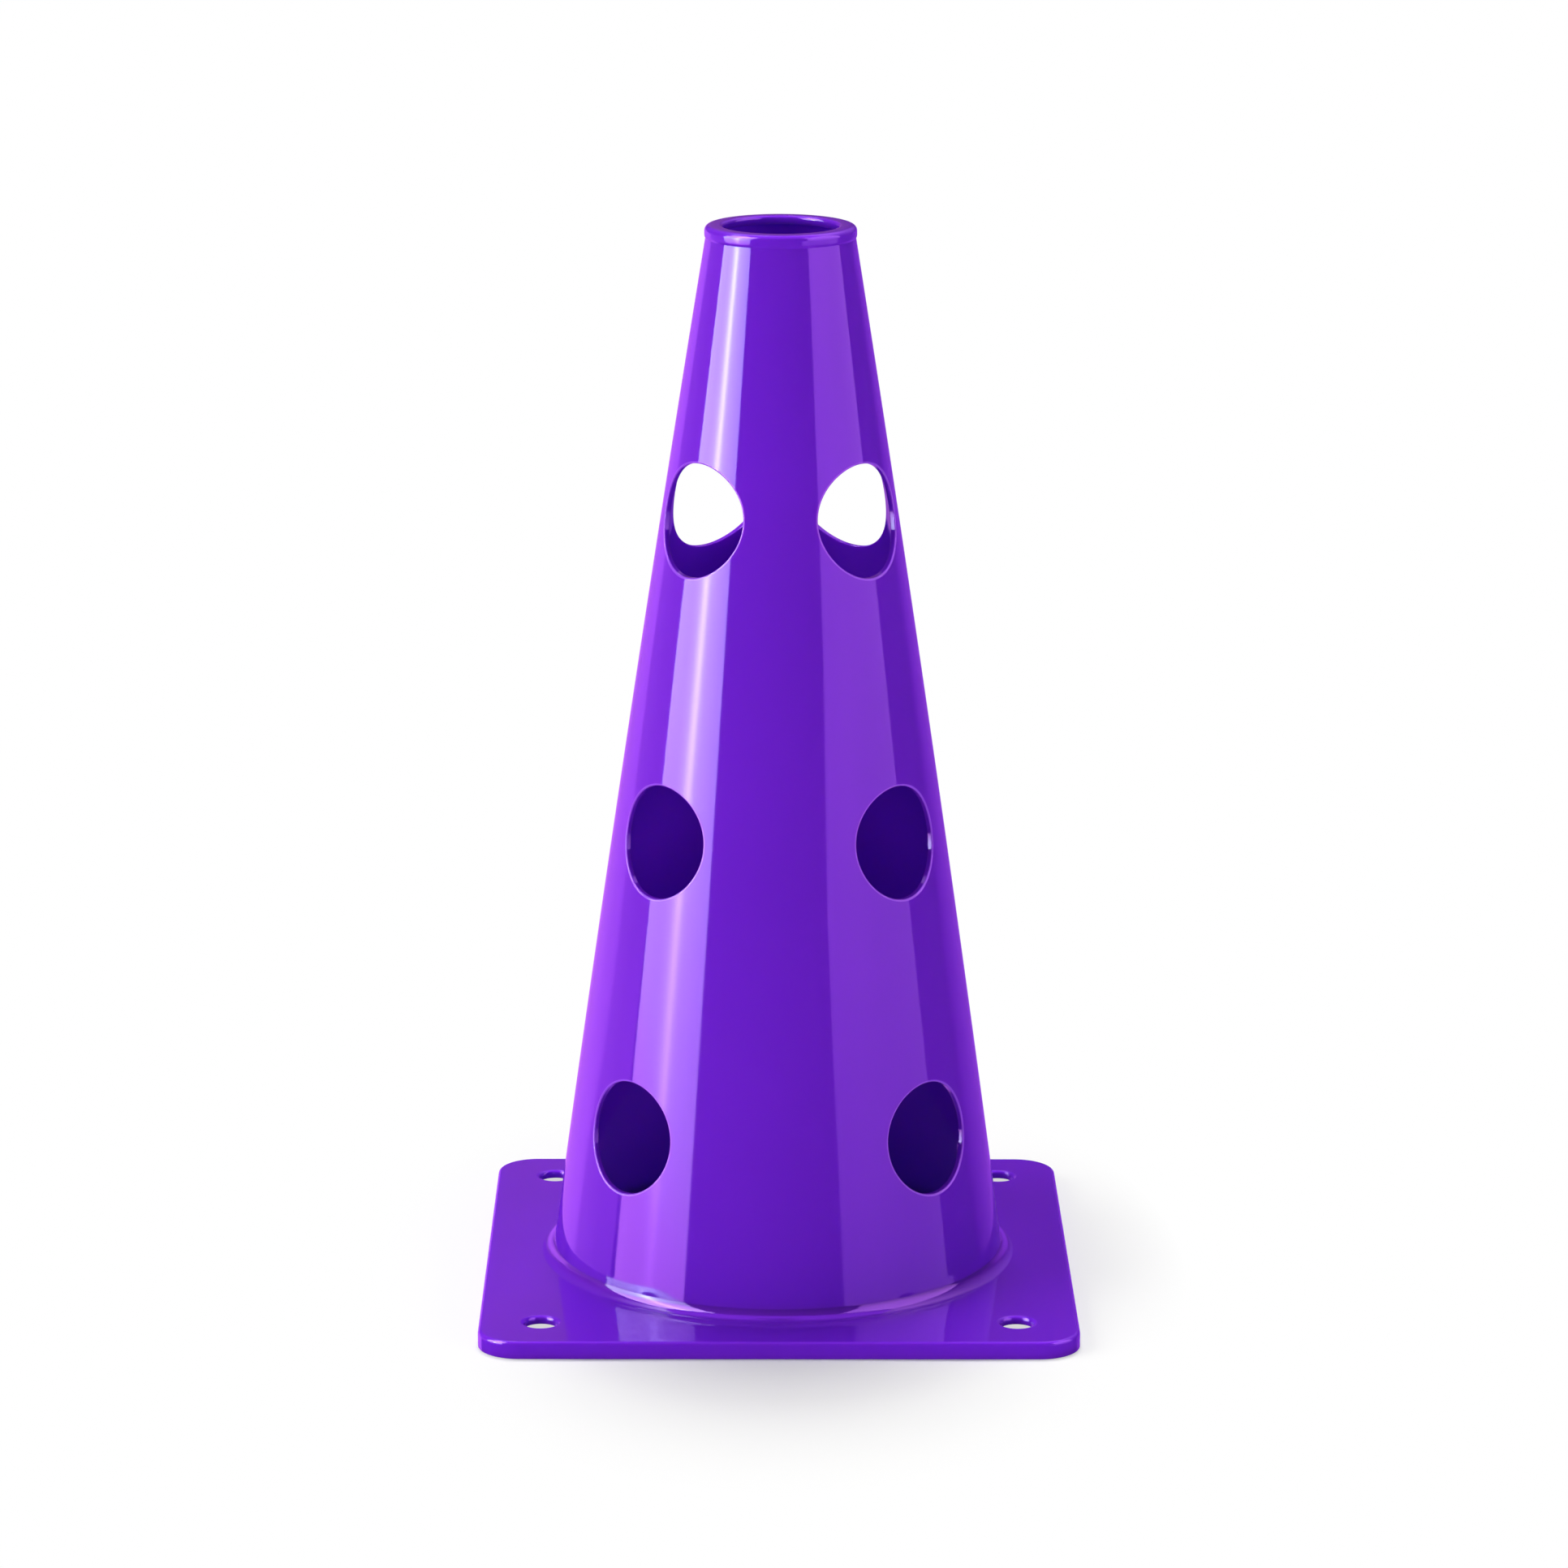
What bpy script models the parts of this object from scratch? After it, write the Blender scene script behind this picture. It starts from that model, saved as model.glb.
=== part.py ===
"""A training cone with holes that poles pass through.

The cone stands on the plane Z = 0 with its axis on Z and its front towards -Y.
It has two mouldings. The cone body is one thin tapered wall with a rolled lip and
a flat rim round the top opening, eight round holes, and a flange round its foot.
The base plate is a thin square tray turned upside down. It drops over the cone,
its collar closes round the wall, and its underside bears on the foot flange.
All sizes are in metres.
"""

from math import acos, cos, degrees, pi, radians, sin, sqrt

import bmesh
import bpy
from mathutils import Matrix, Vector

# Base plate: its side, and how far its edge lies beyond the foot of the cone wall
PLATE_SIDE = 0.210
PLATE_MARGIN = 0.0236
PLATE_HEIGHT = 0.0062
PLATE_SKIN = 0.0029
SKIRT_WALL = 0.0029
PLATE_CORNER_ROUND = 0.0146
PLATE_EDGE_ROUND = 0.0014
COLLAR_ROUND = 0.0050
COLLAR_LAND = 0.0006

# Peg holes through the four corners of the plate
PEG_HOLE_RADIUS = 0.0057
PEG_HOLE_INSET = 0.0217
PEG_HOLE_ROUND = 0.0016

# Cone wall: the neck's radius is its outside just under the lip
CONE_HEIGHT = 0.380
NECK_RADIUS = 0.0263
WALL_BULGE = 0.0012
WALL_THICKNESS = 0.0023
FLANGE_WIDTH = 0.0080

# Lip and rim round the top opening
LIP_HEIGHT = 0.00445
LIP_OVERHANG = 0.00035
LIP_ROUND = 0.0020
RIM_WIDTH = 0.00645
RIM_THICKNESS = 0.0030
OPENING_ROUND = 0.0015

# Pole holes: three rows of two at the front, and two wider ones at the back in the top row
HOLE_RADIUS = 0.0197
BACK_HOLE_RADIUS = 0.0214
LOW_ROW_HEIGHT = 0.0630
MIDDLE_ROW_HEIGHT = 0.1680
TOP_ROW_HEIGHT = 0.2805
HOLE_TURN = radians(47.2)
BACK_HOLE_TURN = radians(39)

# Fit between the two mouldings, and how far a cut runs past what it cuts
FIT_CLEARANCE = 0.0003
CUT_OVERRUN = 0.0030
MERGE_DISTANCE = 0.000001

# Faces that meet at more than this are shaded as a sharp edge
SHARP_EDGE = radians(30)

# Counts of steps
TURN_STEPS = 72
WALL_STEPS = 9
ROUND_STEPS = 3
COLLAR_STEPS = 6
CORNER_STEPS = 6
SIDE_STEPS = 14
HOLE_STEPS = 40
PEG_HOLE_STEPS = 32

# Plastic
PURPLE = (0.145, 0.015, 0.58, 1.0)
GLOSS_ROUGHNESS = 0.12

# Worked out from the sizes above; the foot's radius is level with the plate's top
FOOT_RADIUS = PLATE_SIDE / 2 - PLATE_MARGIN
PLATE_UNDERSIDE = PLATE_HEIGHT - PLATE_SKIN
LIP_UNDERSIDE = CONE_HEIGHT - LIP_HEIGHT
RIM_UNDERSIDE = CONE_HEIGHT - RIM_THICKNESS
LIP_RADIUS = NECK_RADIUS + LIP_OVERHANG
OPENING_RADIUS = LIP_RADIUS - RIM_WIDTH
COLLAR_TOP = PLATE_HEIGHT + COLLAR_ROUND
FLANGE_TOP = PLATE_UNDERSIDE - FIT_CLEARANCE


def wall_radius(height):
    """Outside radius of the cone wall: a straight taper that swells by the bulge at half height."""
    share = (height - PLATE_HEIGHT) / (LIP_UNDERSIDE - PLATE_HEIGHT)
    taper = FOOT_RADIUS + (NECK_RADIUS - FOOT_RADIUS) * share
    return taper + 4 * WALL_BULGE * share * (1 - share)


def inner_radius(height):
    """Inside radius of the cone wall."""
    return wall_radius(height) - WALL_THICKNESS


def arc(centre, radius, start, end, steps):
    """Points on an arc in the (radius, height) plane, its ends included, angles in degrees."""
    turns = [radians(start + (end - start) * step / steps) for step in range(steps + 1)]
    return [(centre[0] + radius * cos(turn), centre[1] + radius * sin(turn)) for turn in turns]


def spread(low, high, steps):
    """Evenly spaced values from low to high, both included."""
    return [low + (high - low) * step / steps for step in range(steps + 1)]


def clear_scene():
    """Remove every object that the file holds."""
    for thing in list(bpy.data.objects):
        bpy.data.objects.remove(thing, do_unlink=True)


def plastic(name):
    """Glossy coloured plastic."""
    material = bpy.data.materials.new(name)
    material.use_nodes = True
    shader = material.node_tree.nodes["Principled BSDF"]
    shader.inputs["Base Color"].default_value = PURPLE
    shader.inputs["Roughness"].default_value = GLOSS_ROUGHNESS
    shader.inputs["Metallic"].default_value = 0.0
    material.diffuse_color = PURPLE
    return material


def add_object(name, shape):
    """Put a bmesh into the scene as a named object."""
    mesh = bpy.data.meshes.new(name)
    shape.to_mesh(mesh)
    shape.free()
    thing = bpy.data.objects.new(name, mesh)
    bpy.context.scene.collection.objects.link(thing)
    return thing


def turned(name, profile, steps, closed):
    """Turn a profile of (radius, height) points round Z; it runs down its outer side."""
    shape = bmesh.new()
    points = [shape.verts.new((radius, 0, height)) for radius, height in profile]
    for first, second in zip(points, points[1:]):
        shape.edges.new((first, second))
    if closed:
        shape.edges.new((points[-1], points[0]))
    thing = add_object(name, shape)
    screw = thing.modifiers.new("Turn", "SCREW")
    screw.axis = "Z"
    screw.angle = 2 * pi
    screw.steps = steps
    screw.render_steps = steps
    screw.use_merge_vertices = True
    screw.merge_threshold = MERGE_DISTANCE
    screw.use_smooth_shade = True
    return thing


def cut(target, cutter):
    """Cut one object out of another."""
    cutter.hide_render = True
    cutter.display_type = "WIRE"
    boolean = target.modifiers.new("Cut " + cutter.name, "BOOLEAN")
    boolean.operation = "DIFFERENCE"
    boolean.solver = "EXACT"
    boolean.object = cutter


def finish(thing, material):
    """Apply the modifiers, shade the round faces smooth and give the piece its plastic."""
    settled = thing.evaluated_get(bpy.context.evaluated_depsgraph_get())
    mesh = bpy.data.meshes.new_from_object(settled)
    thing.modifiers.clear()
    thing.data = mesh
    mesh.name = thing.name
    mesh.shade_smooth()
    mesh.set_sharp_from_angle(angle=SHARP_EDGE)
    mesh.materials.clear()
    mesh.materials.append(material)


def cone_profile():
    """Closed outline of the cone body, from its lip down the outside and up the inside."""
    centre = LIP_RADIUS - LIP_ROUND
    tuck = degrees(acos((NECK_RADIUS - centre) / LIP_ROUND))
    turn_height = LIP_UNDERSIDE + LIP_ROUND * sin(radians(tuck))
    lip_top = arc((centre, CONE_HEIGHT - LIP_ROUND), LIP_ROUND, 90, 0, ROUND_STEPS)
    lip_under = arc((centre, turn_height), LIP_ROUND, 0, -tuck, ROUND_STEPS)
    outside = [(wall_radius(z), z) for z in spread(LIP_UNDERSIDE, FLANGE_TOP, WALL_STEPS)]
    rim = wall_radius(0) + FLANGE_WIDTH
    flange = [(rim, FLANGE_TOP), (rim, 0)]
    inside = [(inner_radius(z), z) for z in spread(0, RIM_UNDERSIDE, WALL_STEPS)]
    opening = [(OPENING_RADIUS, RIM_UNDERSIDE)]
    round_centre = (OPENING_RADIUS + OPENING_ROUND, CONE_HEIGHT - OPENING_ROUND)
    opening_round = arc(round_centre, OPENING_ROUND, 180, 90, ROUND_STEPS)
    return lip_top + lip_under + outside[1:] + flange + inside + opening + opening_round


def hole_places():
    """Height, radius and direction of each pole hole, the direction as an angle from +X."""
    rows = [LOW_ROW_HEIGHT, MIDDLE_ROW_HEIGHT, TOP_ROW_HEIGHT]
    front = [(row, HOLE_RADIUS, -pi / 2 + side * HOLE_TURN) for row in rows for side in (-1, 1)]
    back = [(TOP_ROW_HEIGHT, BACK_HOLE_RADIUS, pi / 2 + side * BACK_HOLE_TURN) for side in (-1, 1)]
    return front + back


def hole_cutters():
    """One round rod for each pole hole, level, and crossing only its own side of the wall."""
    shape = bmesh.new()
    for height, radius, turn in hole_places():
        near_wall = inner_radius(height + radius)
        start = sqrt(near_wall ** 2 - radius ** 2) - CUT_OVERRUN
        end = wall_radius(height - radius) + CUT_OVERRUN
        outward = Vector((cos(turn), sin(turn), 0))
        place = Matrix.Translation(outward * (start + end) / 2 + Vector((0, 0, height)))
        lean = outward.to_track_quat("Z", "Y").to_matrix().to_4x4()
        bmesh.ops.create_cone(
            shape, cap_ends=True, segments=HOLE_STEPS, radius1=radius,
            radius2=radius, depth=end - start, matrix=place @ lean)
    return add_object("pole_hole_cutters", shape)


def cone_body(material):
    """The tapered wall with its lip, pole holes and foot flange."""
    body = turned("cone_body", cone_profile(), TURN_STEPS, closed=True)
    cut(body, hole_cutters())
    finish(body, material)


def outline(inset):
    """Points of the plate's rounded square, drawn in by the inset, as (x, y) pairs."""
    half = PLATE_SIDE / 2 - inset
    corner = PLATE_CORNER_ROUND - inset
    reach = half - corner
    points = []
    for quarter in range(4):
        turn = Matrix.Rotation(quarter * pi / 2, 2)
        side = [Vector((half, y)) for y in spread(-reach, reach, SIDE_STEPS)]
        bend = arc((reach, reach), corner, 0, 90, CORNER_STEPS)
        points += [turn @ point for point in side[:-1] + [Vector(pair) for pair in bend[:-1]]]
    return points


def square_loop(inset, height):
    """The plate's rounded square at one height."""
    return [(point.x, point.y, height) for point in outline(inset)]


def round_loop(radius, height):
    """A circle at one height, with a point in line with each point of the plate's outline."""
    return [(*(point.normalized() * radius), height) for point in outline(0)]


def plate_loops():
    """Loops of the base plate, from the collar outward, down the edge, and back below."""
    top_bore = wall_radius(COLLAR_TOP) + FIT_CLEARANCE
    low_bore = wall_radius(PLATE_UNDERSIDE) + FIT_CLEARANCE
    land = top_bore + COLLAR_LAND
    hollow = arc((land + COLLAR_ROUND, COLLAR_TOP), COLLAR_ROUND, 180, 270, COLLAR_STEPS)
    edge_centre = (-PLATE_EDGE_ROUND, PLATE_HEIGHT - PLATE_EDGE_ROUND)
    edge = arc(edge_centre, PLATE_EDGE_ROUND, 90, 0, ROUND_STEPS)
    loops = [round_loop(top_bore, COLLAR_TOP)]
    loops += [round_loop(radius, height) for radius, height in hollow]
    loops += [square_loop(-out, height) for out, height in edge]
    loops += [square_loop(0, 0), square_loop(SKIRT_WALL, 0), square_loop(SKIRT_WALL, PLATE_UNDERSIDE)]
    loops += [round_loop(low_bore, PLATE_UNDERSIDE)]
    return loops


def peg_hole_cutter(name):
    """A rod as wide as a peg hole, which opens out as the hole's rounded rim does."""
    wide = PEG_HOLE_RADIUS + PEG_HOLE_ROUND
    rim = arc((wide, PLATE_HEIGHT - PEG_HOLE_ROUND), PEG_HOLE_ROUND, 90, 180, ROUND_STEPS)
    above = PLATE_HEIGHT + CUT_OVERRUN
    below = PLATE_UNDERSIDE - CUT_OVERRUN
    profile = [(0, above), (wide, above)] + rim + [(PEG_HOLE_RADIUS, below), (0, below)]
    return turned(name, profile, PEG_HOLE_STEPS, closed=False)


def base_plate(material):
    """The square plate with its collar, hollow underside and four peg holes."""
    shape = bmesh.new()
    rings = [[shape.verts.new(place) for place in loop] for loop in plate_loops()]
    for ring, following in zip(rings, rings[1:] + rings[:1]):
        along = zip(ring, ring[1:] + ring[:1], following[1:] + following[:1], following)
        for corners in along:
            shape.faces.new(corners)
    bmesh.ops.recalc_face_normals(shape, faces=shape.faces)
    plate = add_object("base_plate", shape)
    reach = PLATE_SIDE / 2 - PEG_HOLE_INSET
    places = [(-reach, -reach), (reach, -reach), (reach, reach), (-reach, reach)]
    for number, (x, y) in enumerate(places, 1):
        cutter = peg_hole_cutter("peg_hole_cutter_" + str(number))
        cutter.location = (x, y, 0)
        cut(plate, cutter)
    finish(plate, material)


def main():
    """Build both mouldings."""
    clear_scene()
    cone_body(plastic("cone_plastic"))
    base_plate(plastic("plate_plastic"))


main()
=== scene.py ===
"""A glossy training cone with pole holes, dressed and set up for a studio picture."""

from math import acos, atan, cos, pi, radians, sin

import bpy
import numpy as np
from mathutils import Matrix, Vector


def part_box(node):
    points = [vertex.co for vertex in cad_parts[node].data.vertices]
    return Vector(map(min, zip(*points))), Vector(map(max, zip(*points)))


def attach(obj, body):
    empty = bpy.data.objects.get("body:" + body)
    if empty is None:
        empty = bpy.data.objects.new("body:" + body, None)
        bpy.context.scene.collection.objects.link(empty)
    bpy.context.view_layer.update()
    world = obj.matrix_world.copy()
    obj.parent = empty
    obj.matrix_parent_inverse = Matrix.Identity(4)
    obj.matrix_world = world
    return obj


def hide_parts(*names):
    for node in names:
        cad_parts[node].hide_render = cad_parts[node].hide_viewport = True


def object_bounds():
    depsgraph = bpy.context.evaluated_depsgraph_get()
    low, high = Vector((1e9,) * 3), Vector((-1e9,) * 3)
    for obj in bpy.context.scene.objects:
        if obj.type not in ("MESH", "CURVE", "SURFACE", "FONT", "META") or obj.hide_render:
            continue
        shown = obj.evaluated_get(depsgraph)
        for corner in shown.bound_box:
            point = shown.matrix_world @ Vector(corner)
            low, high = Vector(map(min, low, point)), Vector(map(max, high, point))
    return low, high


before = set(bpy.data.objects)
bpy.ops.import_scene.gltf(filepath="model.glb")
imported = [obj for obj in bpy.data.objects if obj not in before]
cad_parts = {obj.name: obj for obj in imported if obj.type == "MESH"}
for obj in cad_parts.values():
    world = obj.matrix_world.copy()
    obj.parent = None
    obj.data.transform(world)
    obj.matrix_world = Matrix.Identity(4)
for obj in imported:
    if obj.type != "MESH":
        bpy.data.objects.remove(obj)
CAD_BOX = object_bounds()
PLATE_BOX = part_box("base_plate")

bl_info = {
    "name": "Training Cone with Pole Holes",
    "version": (1, 0, 0),
    "blender": (4, 5, 0),
    "location": "3D View > Sidebar > Training Cone",
    "description": "Builds a moulded training cone, its base plate and a small studio",
    "category": "Add Mesh",
}

# Grid steps of the wall: columns and rows of a hole's patch, columns between the patches,
# rows of the bands from the foot up to the lip, and rings from a patch's edge to its hole
CELL_COLUMNS = 48
CELL_ROWS = 28
FRONT_GAP_COLUMNS = 8
SIDE_GAP_COLUMNS = 8
BACK_GAP_COLUMNS = 2
BAND_ROWS = (6, 8, 9, 10)
WALL_RINGS = 8

# Grid steps of the roundings: a pole hole's edge, a bore or a small break, a round, the fillet
EDGE_STEPS = 5
BORE_STEPS = 2
ROUND_STEPS = 8
FILLET_STEPS = 16

# Grid steps of the plate: a side, a corner, the part of a side in a peg hole's patch, and the
# rows of the flat top and underside
SIDE_COLUMNS = 48
CORNER_COLUMNS = 16
PEG_SIDE_COLUMNS = 8
FLAT_ROWS = 8

# Signs of x and y at the plate's corners, in the order in which its outline passes them, and
# the upward direction
PLATE_CORNERS = ((1, 1), (-1, 1), (-1, -1), (1, -1))
UP = np.array([0, 0, 1.0])

# Name of the mark where a paler colour paints a highlight on the pole holes' rounded
# edges, and how far outside of the edge's rounding it fades away, as a share of that rounding
RIM_HIGHLIGHT_MARK = "pale_edge"
MARK_FADE = 0.3


# Sizes and colours that a user may change


def length(name, default, description):
    """A property that holds a length in metres."""
    return bpy.props.FloatProperty(
        name=name, description=description, default=default, min=0,
        precision=5, subtype="DISTANCE", unit="LENGTH")


def level(name, default, description):
    """A property that holds a plain number from zero up."""
    return bpy.props.FloatProperty(
        name=name, description=description, default=default, min=0, precision=4)


def angle(name, default, description):
    """A property that holds an angle, given here in degrees."""
    return bpy.props.FloatProperty(
        name=name, description=description, default=radians(default),
        subtype="ANGLE", unit="ROTATION")


def colour(name, default, description):
    """A property that holds a colour without its alpha."""
    return bpy.props.FloatVectorProperty(
        name=name, description=description, default=default, size=3, min=0, max=1,
        subtype="COLOR")


class ConeSizes(bpy.types.PropertyGroup):
    """Sizes of the cone wall, its lip and its pole holes."""

    height: length("Height", CAD_BOX[1].z, "From the floor to the rim")
    foot_radius: length("Foot radius", 0.0814, "Outside of the wall, level with the plate's top")
    neck_radius: length("Neck radius", 0.0263, "Outside of the wall, just under the lip")
    bulge: length("Bulge", 0.0012, "How far the wall swells at half height")
    thickness: length("Wall", 0.0023, "Thickness of the wall")
    lip_height: length("Lip height", 0.00445, "Height of the lip")
    lip_overhang: length("Lip overhang", 0.00035, "How far the lip stands out")
    lip_round: length("Lip round", 0.0020, "Rounding of the lip")
    rim_width: length("Rim width", 0.00645, "From the lip in to the opening")
    rim_thickness: length("Rim thickness", 0.0030, "Thickness of the rim")
    opening_round: length("Opening round", 0.0012, "Rounding of the opening's edge")
    flange_width: length("Flange width", 0.0080, "Flange under the plate")
    hole_radius: length("Hole radius", 0.0197, "Radius of the front pole holes")
    back_hole_radius: length("Back hole radius", 0.0214, "Radius of the back pole holes")
    hole_edge: length("Hole edge", 0.00065, "Rounding of the holes' outer edge")
    hole_back_edge: length("Hole back edge", 0.0004, "Rounding of the holes' inner edge")
    low_row: length("Low row", 0.0630, "Height of the lowest holes")
    middle_row: length("Middle row", 0.1680, "Height of the middle holes")
    top_row: length("Top row", 0.2805, "Height of the highest holes")
    hole_turn: angle("Hole turn", 47.2, "Angle of the front holes from the front")
    back_hole_turn: angle("Back hole turn", 39.0, "Angle of the back holes from the back")
    cell_turn: angle("Hole patch turn", 38.0, "Half the angle of wall that a hole's mesh covers")
    cell_height: length("Hole patch height", 0.0270, "Half the height of a hole's mesh")


class PlateSizes(bpy.types.PropertyGroup):
    """Sizes of the square base plate."""

    side: length("Side", PLATE_BOX[1].x - PLATE_BOX[0].x, "Side of the square")
    height: length("Height", 0.0062, "Height of the plate's top")
    skin: length("Skin", 0.0029, "Thickness of the plate's top")
    skirt: length("Skirt", 0.0029, "Thickness of the plate's edge")
    corner_round: length("Corner round", 0.0146, "Radius of the plate's corners")
    edge_round: length("Edge round", 0.0014, "Rounding of the upper edge")
    edge_break: length("Edge break", 0.0003, "Rounding of the lower edges")
    fillet: length("Fillet", 0.0050, "Fillet between the plate and the wall")
    fillet_lip: angle("Fillet lip", 7.0, "How far the fillet's upper end stops short")
    gap: length("Gap", 0.00002, "Gap between the collar and the wall")
    peg_radius: length("Peg hole radius", 0.0057, "Radius of the peg holes")
    peg_round: length("Peg hole round", 0.0016, "Rounding of the peg holes")
    peg_inset: length("Peg hole inset", 0.0217, "From the plate's edge to a peg hole's middle")


class PlasticFinish(bpy.types.PropertyGroup):
    """The look of the glossy moulded plastic."""

    colour: colour("Plastic", (0.165, 0.0165, 0.66), "Colour of the plastic")
    deep_colour: colour("Deeper patches", (0.157, 0.0155, 0.64), "Colour of its deeper patches")
    # A paler colour that paints a highlight on the pole holes' rounded edges
    rim_highlight_colour: colour("Pale edge", (0.29, 0.075, 0.86), "Colour of the rubbed edges of the holes")
    sheen_tint: colour("Gloss tint", (0.68, 0.48, 1.0), "Tint of its straight reflections")
    roughness: level("Roughness", 0.060, "Roughness of clean plastic")
    scuff: level("Scuffs", 0.030, "How much rougher the handled patches are")
    ripple: length("Ripple", 0.000012, "Height of the slow ripple of a moulded face")
    grain: length("Grain", 0.0000012, "Height of the fine grain")
    depth: length("Depth", 0.007, "How far light spreads inside the plastic")
    inner_glow: level("Inner glow", 0.45, "Share of the light that spreads inside the plastic")


class StudioLight(bpy.types.PropertyGroup):
    """Strengths of the lights and cards, their colours, and the camera's lens."""

    back_light: level("Back light", 2.25, "Light from high behind")
    key_light: level("Key light", 1.7, "Light from high on the left")
    left_light: level("Left light", 0.75, "Low light from the front left")
    right_light: level("Right light", 1.2, "Low light from the front right")
    ambient: level("Room", 0.08, "Light of the room")
    left_card: level("Left card", 27.0, "Tall card at the front left")
    right_card: level("Right card", 4.2, "Tall card at the front right")
    high_left_card: level("High left card", 12.0, "High card at the back left")
    high_right_card: level("High right card", 4.0, "High card at the back right")
    low_left_card: level("Low left card", 2.45, "Low card at the back left")
    low_right_card: level("Low right card", 1.0, "Low card at the back right")
    overhead_card: level("Overhead card", 1.3, "Card high behind")
    back_card: level("Back card", 0.3, "Dim card behind")
    top_card: level("Top card", 5.5, "Card straight above")
    side_card: level("Side card", 1.4, "Dim card on the far left")
    surround: level("Surround", 0.03, "All that the cards leave free")
    violet: colour("Violet", (0.80, 0.36, 1.0), "Colour of the tinted cards")
    deep_violet: colour("Deep violet", (0.44, 0.09, 1.0), "Colour of the low right card")
    left_violet: colour("Left violet", (0.67, 0.19, 1.0), "Colour of the dim cards on the left")
    rose: colour("Rose", (1.0, 0.42, 0.18), "Colour of the dim card behind")
    core_tint: colour("Core tint", (0.66, 1.0, 1.0), "Colour of the left card at its brightest")
    foot_tint: colour("Foot tint", (1.0, 0.30, 1.0), "Colour of the left card at its lowest")
    # Glow that paints the shaded floor under the plate as lit
    under_plate: level("Painted light under the plate", 0.68, "Painted light on the floor seen through the peg holes")
    floor_colour: colour("Floor", (0.93, 0.93, 0.90), "Colour of the floor")
    lens: bpy.props.FloatProperty(
        name="Lens", description="Focal length in millimetres", default=136.50, min=1)


# Grids, points and meshes


def arc(centre, radius, start, end, steps):
    """Points on a circle in the (radius, height) plane: centre plus radius times the cosine
    and the sine of angles that step evenly from start to end, in degrees."""
    turn = np.radians(np.linspace(start, end, steps + 1))
    return np.stack([centre[0] + radius * np.cos(turn), centre[1] + radius * np.sin(turn)], -1)


def quads(index, close_rows=False):
    """Corners of the quads between each row of point numbers and the next; rows are rings."""
    low = index if close_rows else index[:-1]
    high = np.roll(index, -1, 0) if close_rows else index[1:]
    return np.stack([low, np.roll(low, -1, 1), np.roll(high, -1, 1), high], -1)


def edge_of(index, rows, columns):
    """Point numbers round a block of a grid: along its first row, up, back and down again."""
    return np.concatenate([
        index[rows[0], columns[:-1]], index[rows[:-1], columns[-1]],
        index[rows[-1], columns[:0:-1]], index[rows[:0:-1], columns[0]]])


def ring_blend(inner, outer, steps):
    """Rings of points from an inner loop to an outer one, each a weighted mean of the two."""
    share = np.linspace(0, 1, steps + 1)[:, None, None]
    return inner * (1 - share) + outer * share


def corner_curve(start, corner, end, steps):
    """A quadratic curve that leaves start and reaches end, both aimed at the corner: the sum
    of the three points weighted by (1-t) squared, 2t(1-t) and t squared."""
    t = np.linspace(0, 1, steps + 1)[:, None, None]
    return start * (1 - t) ** 2 + corner * 2 * t * (1 - t) + end * t ** 2


def unit(vectors):
    """Vectors scaled to length one."""
    return vectors / np.linalg.norm(vectors, axis=-1, keepdims=True)


def placed(name, data):
    """A new object in the scene that holds a mesh, a light or a camera."""
    thing = bpy.data.objects.new(name, data)
    bpy.context.scene.collection.objects.link(thing)
    return thing


class Sheet:
    """Points, their normals, marks and quads that are gathered into one mesh."""

    def __init__(self):
        self.points, self.normals, self.marks, self.faces, self.count = [], [], [], [], 0

    def add(self, points, normals=None, marks=0.0):
        """Add a grid of points and give back the grid of their numbers. Where no normals are
        given they are left for the mesh to work out. The marks are one where a highlight is
        painted on a pole hole's edge and zero elsewhere."""
        points = np.asarray(points, float)
        if normals is None:
            normals = np.full(points.shape, np.nan)
        index = np.arange(points[..., 0].size).reshape(points.shape[:-1]) + self.count
        self.points.append(points.reshape(-1, 3))
        self.normals.append(np.broadcast_to(normals, points.shape).reshape(-1, 3))
        self.marks.append(np.broadcast_to(marks, index.shape).ravel())
        self.count += index.size
        return index

    def skin(self, corners):
        """Add quads by the numbers of their corners."""
        self.faces.append(corners.reshape(-1, 4))

    def make(self, name, node, slot, material):
        """Put the mesh into the scene in place of its CAD node, riding on the one body."""
        points, normals = np.concatenate(self.points), np.concatenate(self.normals)
        faces = np.concatenate(self.faces)
        mesh = bpy.data.meshes.new(name)
        mesh.from_pydata(points, [], faces)
        mesh.update()
        mesh.shade_smooth()
        worked_out = np.empty(points.size, np.float32)
        mesh.vertex_normals.foreach_get("vector", worked_out)
        normals = np.where(np.isnan(normals), worked_out.reshape(-1, 3), normals)
        mesh.normals_split_custom_set_from_vertices(normals)
        if mesh.validate():
            raise RuntimeError(name + " has faces that can't be used")
        marks = mesh.attributes.new(RIM_HIGHLIGHT_MARK, "FLOAT", "POINT")
        marks.data.foreach_set("value", np.concatenate(self.marks))
        mesh.materials.append(material)
        thing = placed(name, mesh)
        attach(thing, "root")
        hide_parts(node)


# Cone wall


def taper(cone, plate, height):
    """Outside radius of the wall: a straight line from the foot's radius at the plate's top
    to the neck's under the lip, plus four bulges times share times one minus share, where
    share is how far up that line the height lies."""
    share = (height - plate.height) / (cone.height - cone.lip_height - plate.height)
    line = cone.foot_radius + (cone.neck_radius - cone.foot_radius) * share
    return line + 4 * cone.bulge * share * (1 - share)


def lean(cone, plate, height):
    """How fast the wall's radius changes with height: the slope of the line plus four bulges
    times one minus twice the share, over the height of the wall."""
    rise = cone.height - cone.lip_height - plate.height
    share = (height - plate.height) / rise
    return (cone.neck_radius - cone.foot_radius + 4 * cone.bulge * (1 - 2 * share)) / rise


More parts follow.
